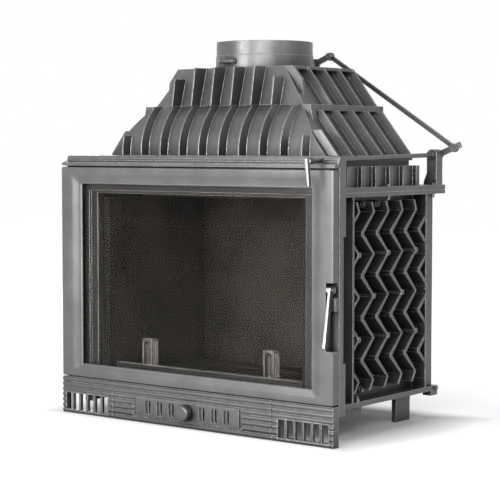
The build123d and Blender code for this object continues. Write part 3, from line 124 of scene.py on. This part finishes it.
def makeFloor():  # white to the camera, with the object's shadow kept near the insert and a painted shadow where the glow drops beneath its footprint
    half = floorLook["size"] / 2
    mesh = bpy.data.meshes.new("studioFloor")
    mesh.from_pydata([(-half, -half, 0), (half, -half, 0), (half, half, 0), (-half, half, 0)], [], [(0, 1, 2, 3)])
    floor = bpy.data.objects.new("studioFloor", mesh)
    bpy.context.scene.collection.objects.link(floor)
    floor.location.z = -floorLook["drop"]
    material = bpy.data.materials.new("paleFloor")
    material.use_nodes = True
    tree = material.node_tree
    shader = tree.nodes["Principled BSDF"]
    pale = floorLook["pale"]
    shader.inputs["Base Color"].default_value = (pale, pale, pale, 1)
    shader.inputs["Roughness"].default_value = floorLook["rough"]
    shader.inputs["Specular IOR Level"].default_value = 0.0
    coords = tree.nodes.new("ShaderNodeTexCoord")
    mapping = tree.nodes.new("ShaderNodeMapping")
    mapping.vector_type = "TEXTURE"
    mapping.inputs["Location"].default_value = floorLook["middle"]
    mapping.inputs["Scale"].default_value = floorLook["reach"]
    tree.links.new(coords.outputs["Object"], mapping.inputs["Vector"])
    sides = tree.nodes.new("ShaderNodeSeparateXYZ")
    tree.links.new(mapping.outputs["Vector"], sides.inputs[0])
    across = maths(tree, "ABSOLUTE", sides.outputs["X"], 0)
    along = maths(tree, "ABSOLUTE", sides.outputs["Y"], 0)
    away = maths(tree, "MAXIMUM", across, along)
    # painted shadow: the glow stays low inside the insert's footprint and rises past its edge
    beside = spread(tree, away, floorLook["under"], floorLook["near"], *floorLook["edge"])
    beyond = spread(tree, away, 0, floorLook["far"] - floorLook["near"], *floorLook["fade"])
    level = maths(tree, "ADD", beside, beyond)
    shader.inputs["Emission Color"].default_value = (1, 1, 1, 1)
    tree.links.new(maths(tree, "MULTIPLY", level, backdropRays(tree)), shader.inputs["Emission Strength"])
    mesh.materials.append(material)


bpy.context.scene.view_settings.view_transform = "Standard"
makeCamera()
for lampName, lamp in lamps.items():
    makeLamp(lampName + "Lamp", lamp)
makeWorld()
makeFloor()
print("camera, lamps and floor ready")

softFaces = {"weld": 0.00001, "creaseDegrees": 32}


def makeSoftFaces():  # curved castings shade smoothly, edges sharper than the crease angle stay crisp
    group = bpy.data.node_groups.new("softFaces", "GeometryNodeTree")
    group.interface.new_socket("Geometry", in_out="INPUT", socket_type="NodeSocketGeometry")
    group.interface.new_socket("Geometry", in_out="OUTPUT", socket_type="NodeSocketGeometry")
    start = group.nodes.new("NodeGroupInput")
    end = group.nodes.new("NodeGroupOutput")
    drop = group.nodes.new("GeometryNodeRemoveAttribute")
    drop.inputs["Name"].default_value = "custom_normal"
    weld = group.nodes.new("GeometryNodeMergeByDistance")
    weld.inputs["Distance"].default_value = softFaces["weld"]
    smooth = group.nodes.new("GeometryNodeSetShadeSmooth")
    smooth.domain = "FACE"
    smooth.inputs["Shade Smooth"].default_value = True
    crease = group.nodes.new("GeometryNodeSetShadeSmooth")
    crease.domain = "EDGE"
    crease.inputs["Shade Smooth"].default_value = False
    angle = group.nodes.new("GeometryNodeInputMeshEdgeAngle")
    sharp = group.nodes.new("FunctionNodeCompare")
    sharp.data_type = "FLOAT"
    sharp.operation = "GREATER_THAN"
    sharp.inputs["B"].default_value = math.radians(softFaces["creaseDegrees"])
    group.links.new(angle.outputs["Unsigned Angle"], sharp.inputs["A"])
    group.links.new(start.outputs[0], drop.inputs["Geometry"])
    group.links.new(drop.outputs[0], weld.inputs["Geometry"])
    group.links.new(weld.outputs[0], smooth.inputs["Geometry"])
    group.links.new(smooth.outputs[0], crease.inputs["Geometry"])
    group.links.new(sharp.outputs[0], crease.inputs["Selection"])
    group.links.new(crease.outputs[0], end.inputs[0])
    return group


def newMaterial(name):
    material = bpy.data.materials.new(name)
    material.use_nodes = True
    tree = material.node_tree
    return material, tree, tree.nodes["Principled BSDF"]


def grainCoords(tree, stretch=(1, 1, 1)):
    coords = tree.nodes.new("ShaderNodeTexCoord")
    mapping = tree.nodes.new("ShaderNodeMapping")
    mapping.inputs["Scale"].default_value = stretch
    tree.links.new(coords.outputs["Object"], mapping.inputs["Vector"])
    return mapping.outputs["Vector"]


def noise(tree, coords, scale, detail=3, rough=0.5):
    node = tree.nodes.new("ShaderNodeTexNoise")
    node.inputs["Scale"].default_value = scale
    node.inputs["Detail"].default_value = detail
    node.inputs["Roughness"].default_value = rough
    tree.links.new(coords, node.inputs["Vector"])
    return node.outputs["Fac"]


def blendColor(tree, factor, first, second):
    node = tree.nodes.new("ShaderNodeMix")
    node.data_type = "RGBA"
    tree.links.new(factor, node.inputs["Factor"])
    for socket, value in ((node.inputs["A"], first), (node.inputs["B"], second)):
        if isinstance(value, bpy.types.NodeSocket):
            tree.links.new(value, socket)
        else:
            socket.default_value = (value[0], value[1], value[2], 1)
    return node.outputs["Result"]


edgeTest = {"samples": 4, "flat": 0.995, "round": 0.86}  # the normal's turn at which an edge takes the edge colour: partly real rubbing, partly a painted highlight


def roundedEdges(tree, radius):
    bevel = tree.nodes.new("ShaderNodeBevel")
    bevel.samples = edgeTest["samples"]
    bevel.inputs["Radius"].default_value = radius
    return bevel.outputs["Normal"]


def edgeMask(tree, softNormal):
    geometry = tree.nodes.new("ShaderNodeNewGeometry")
    dot = tree.nodes.new("ShaderNodeVectorMath")
    dot.operation = "DOT_PRODUCT"
    tree.links.new(softNormal, dot.inputs[0])
    tree.links.new(geometry.outputs["Normal"], dot.inputs[1])
    return spread(tree, dot.outputs["Value"], 1.0, 0.0, edgeTest["round"], edgeTest["flat"])


def bump(tree, height, normal, strength, distance):
    node = tree.nodes.new("ShaderNodeBump")
    node.inputs["Strength"].default_value = strength
    node.inputs["Distance"].default_value = distance
    tree.links.new(height, node.inputs["Height"])
    if normal is not None:
        tree.links.new(normal, node.inputs["Normal"])
    return node.outputs["Normal"]


def openness(tree, reach):
    shade = tree.nodes.new("ShaderNodeAmbientOcclusion")
    shade.samples = 6
    shade.inputs["Distance"].default_value = reach
    return shade.outputs["AO"]


castIron = {
    "dark": (0.088, 0.089, 0.091), "light": (0.125, 0.126, 0.128),
    # the recess colour is a painted shade laid into the hollows
    "edgeWearAndHighlight": (0.52, 0.52, 0.52), "recess": (0.012, 0.012, 0.013),
    "metallic": 0.5, "gloss": 0.5, "rough": (0.30, 0.40),
    # the worn colour and the wear amount lighten the edges: partly real rubbing, partly a painted highlight
    "edge": 0.0017, "edgeWearAndGlint": 0.95,  # edge is the rounding in metres
    "reach": 0.055, "shut": (0.30, 0.92),  # how far a hollow counts, and from which openness the painted recess shade starts
    "grain": 0.25, "grainSize": 900, "grainDepth": 0.0004, "speckSize": 144, "cloud": 14, "sheenCloud": 70,
}
lining = {
    "dark": (0.006, 0.0055, 0.005), "light": (0.020, 0.018, 0.016),
    # the recess colour is a painted shade laid into the hollows
    "edgeWearAndHighlight": (0.06, 0.055, 0.05), "recess": (0.003, 0.003, 0.003),
    "metallic": 0.0, "gloss": 0.12, "rough": (0.5, 0.7),
    # the worn colour and the wear amount lighten the edges: partly real rubbing, partly a painted highlight
    "edge": 0.0015, "edgeWearAndGlint": 0.4,
    "reach": 0.06, "shut": (0.2, 0.7),
    "grain": 0.4, "grainSize": 700, "grainDepth": 0.0004, "speckSize": 112, "cloud": 9, "sheenCloud": 45,
}


def makeCast(name, look):
    material, tree, shader = newMaterial(name)
    coords = grainCoords(tree)
    cloud = noise(tree, coords, look["cloud"], 4, 0.55)
    specks = noise(tree, coords, look["speckSize"], 3, 0.6)
    color = blendColor(tree, spread(tree, cloud, 0, 1), look["dark"], look["light"])
    color = blendColor(tree, spread(tree, specks, 0.0, 0.3, 0.45, 0.75), color, look["dark"])
    clear = spread(tree, openness(tree, look["reach"]), 0, 1, *look["shut"])
    color = blendColor(tree, clear, look["recess"], color)  # painted shade: the hollows are darkened by the openness (ambient occlusion) mask
    softNormal = roundedEdges(tree, look["edge"])
    # lighter edges: partly real rubbing, partly a painted highlight along the rounded edges, broken up by the
    # specks
    rubbedAndGlintMask = maths(tree, "MULTIPLY", edgeMask(tree, softNormal), spread(tree, specks, 0.25, 1.0, 0.35, 0.6))
    edgeWearAndHighlight = maths(tree, "MULTIPLY", rubbedAndGlintMask, look["edgeWearAndGlint"])
    tree.links.new(blendColor(tree, edgeWearAndHighlight, color, look["edgeWearAndHighlight"]), shader.inputs["Base Color"])
    rough = spread(tree, noise(tree, coords, look["sheenCloud"], 4, 0.6), *look["rough"])
    tree.links.new(rough, shader.inputs["Roughness"])
    shader.inputs["Metallic"].default_value = look["metallic"]
    shader.inputs["Specular IOR Level"].default_value = look["gloss"]
    sand = noise(tree, coords, look["grainSize"], 2, 0.5)
    tree.links.new(bump(tree, sand, softNormal, look["grain"], look["grainDepth"]), shader.inputs["Normal"])
    return material


toolSteel = {
    "color": (0.20, 0.20, 0.205), "dull": (0.09, 0.09, 0.09), "rough": (0.3, 0.5), "edge": 0.0006,
    "brush": (1, 3, 1), "streakSize": 260, "cloud": 40, "grain": 0.12, "grainDepth": 0.0002,
}


def makeSteel(name, look):
    material, tree, shader = newMaterial(name)
    coords = grainCoords(tree, look["brush"])
    streak = noise(tree, coords, look["streakSize"], 3, 0.6)
    cloud = noise(tree, coords, look["cloud"], 3, 0.5)
    color = blendColor(tree, spread(tree, cloud, 0, 1), look["color"], look["dull"])
    tree.links.new(color, shader.inputs["Base Color"])
    tree.links.new(spread(tree, streak, *look["rough"]), shader.inputs["Roughness"])
    shader.inputs["Metallic"].default_value = 1.0
    softNormal = roundedEdges(tree, look["edge"])
    tree.links.new(bump(tree, streak, softNormal, look["grain"], look["grainDepth"]), shader.inputs["Normal"])
    return material


# dark and bright are the shaded sides and the painted highlight on the front face and edges of one polished metal
polishedFace = {
    "dark": (0.055, 0.055, 0.056), "bright": (0.78, 0.78, 0.78), "rough": (0.42, 0.16), "face": (0.72, 0.93),
    "edge": 0.0009, "edgeWearAndGlint": 0.55, "metallic": 0.9,
    "brush": (1, 1, 12), "streakSize": 320, "streakLow": 0.8, "grain": 0.1, "grainDepth": 0.0002,
}
leverFace = {
    "dark": (0.10, 0.10, 0.10), "bright": (0.42, 0.42, 0.42), "rough": (0.42, 0.24), "face": (0.80, 0.96),
    "edge": 0.0011, "edgeWearAndGlint": 0.8, "metallic": 0.9,
    "brush": (1, 1, 12), "streakSize": 320, "streakLow": 0.8, "grain": 0.1, "grainDepth": 0.0002,
}


def makePolished(name, look):  # painted highlight: the base colour is bright on faces turned to the front (-Y) and along the edges, and dark on the other sides
    material, tree, shader = newMaterial(name)
    coords = tree.nodes.new("ShaderNodeTexCoord")
    sides = tree.nodes.new("ShaderNodeSeparateXYZ")
    tree.links.new(coords.outputs["Normal"], sides.inputs[0])
    ahead = maths(tree, "MULTIPLY", sides.outputs["Y"], -1)
    front = spread(tree, ahead, 0, 1, *look["face"])
    softNormal = roundedEdges(tree, look["edge"])
    edges = maths(tree, "MULTIPLY", edgeMask(tree, softNormal), look["edgeWearAndGlint"])
    # painted highlight mask: faces turned to the front and the edges take the bright colour
    bright = maths(tree, "MAXIMUM", front, edges)
    streak = noise(tree, grainCoords(tree, look["brush"]), look["streakSize"], 3, 0.6)
    paintedHighlight = maths(tree, "MULTIPLY", bright, spread(tree, streak, look["streakLow"], 1.0))
    tree.links.new(blendColor(tree, paintedHighlight, look["dark"], look["bright"]), shader.inputs["Base Color"])
    tree.links.new(spread(tree, bright, look["rough"][0], look["rough"][1], 0, 1), shader.inputs["Roughness"])
    shader.inputs["Metallic"].default_value = look["metallic"]
    tree.links.new(bump(tree, streak, softNormal, look["grain"], look["grainDepth"]), shader.inputs["Normal"])
    return material


pane = {"tint": (0.93, 0.91, 0.88), "smoke": 0.93, "smokeSize": 6, "rough": 0.01, "ior": 1.12}


def makePane(name):
    material, tree, shader = newMaterial(name)
    smoke = noise(tree, grainCoords(tree), pane["smokeSize"], 3, 0.5)
    smoked = [value * pane["smoke"] for value in pane["tint"]]
    tree.links.new(blendColor(tree, spread(tree, smoke, 0, 1), pane["tint"], smoked), shader.inputs["Base Color"])
    shader.inputs["Roughness"].default_value = pane["rough"]
    shader.inputs["IOR"].default_value = pane["ior"]
    shader.inputs["Transmission Weight"].default_value = 1.0
    clear = tree.nodes.new("ShaderNodeBsdfTransparent")  # lets the lamps' light through to the firebox
    clear.inputs["Color"].default_value = (pane["tint"][0], pane["tint"][1], pane["tint"][2], 1)
    path = tree.nodes.new("ShaderNodeLightPath")
    mix = tree.nodes.new("ShaderNodeMixShader")
    out = tree.nodes["Material Output"]
    tree.links.new(path.outputs["Is Shadow Ray"], mix.inputs[0])
    tree.links.new(shader.outputs[0], mix.inputs[1])
    tree.links.new(clear.outputs[0], mix.inputs[2])
    tree.links.new(mix.outputs[0], out.inputs["Surface"])
    return material


ropeLook = {
    "dark": (0.008, 0.008, 0.007), "light": (0.034, 0.033, 0.031), "rough": 0.9,
    "strands": 160, "looseness": 1.5, "grain": 0.8, "grainDepth": 0.0006,
}


def makeRope(name):
    material, tree, shader = newMaterial(name)
    weave = tree.nodes.new("ShaderNodeTexWave")
    weave.bands_direction = "DIAGONAL"
    weave.inputs["Scale"].default_value = ropeLook["strands"]
    weave.inputs["Distortion"].default_value = ropeLook["looseness"]
    tree.links.new(grainCoords(tree), weave.inputs["Vector"])
    height = weave.outputs["Fac"]
    tree.links.new(blendColor(tree, height, ropeLook["dark"], ropeLook["light"]), shader.inputs["Base Color"])
    shader.inputs["Roughness"].default_value = ropeLook["rough"]
    tree.links.new(bump(tree, height, None, ropeLook["grain"], ropeLook["grainDepth"]), shader.inputs["Normal"])
    return material


finishes = {
    "iron": makeCast("satinCastIron", castIron),
    "lining": makeCast("sootedLining", lining),
    "chrome": makePolished("leverSteel", leverFace),
    "polished": makePolished("handleSteel", polishedFace),
    "steel": makeSteel("toolSteel", toolSteel),
    "glass": makePane("stoveGlass"),
    "rope": makeRope("ropeSeal"),
}
slotOf = {entry["node"]: entry["material_slot"] for entry in frame["record"]["subparts"]}
slotOf["log_guard"] = "iron"  # bare casting, not sooted like the linings
softGroup = makeSoftFaces()
for node in nodes:
    mesh = nodes[node].data
    mesh.materials.clear()
    mesh.materials.append(finishes[slotOf[node]])
    nodes[node].modifiers.new("softFaces", "NODES").node_group = softGroup
print("finishes on", len(nodes), "nodes")
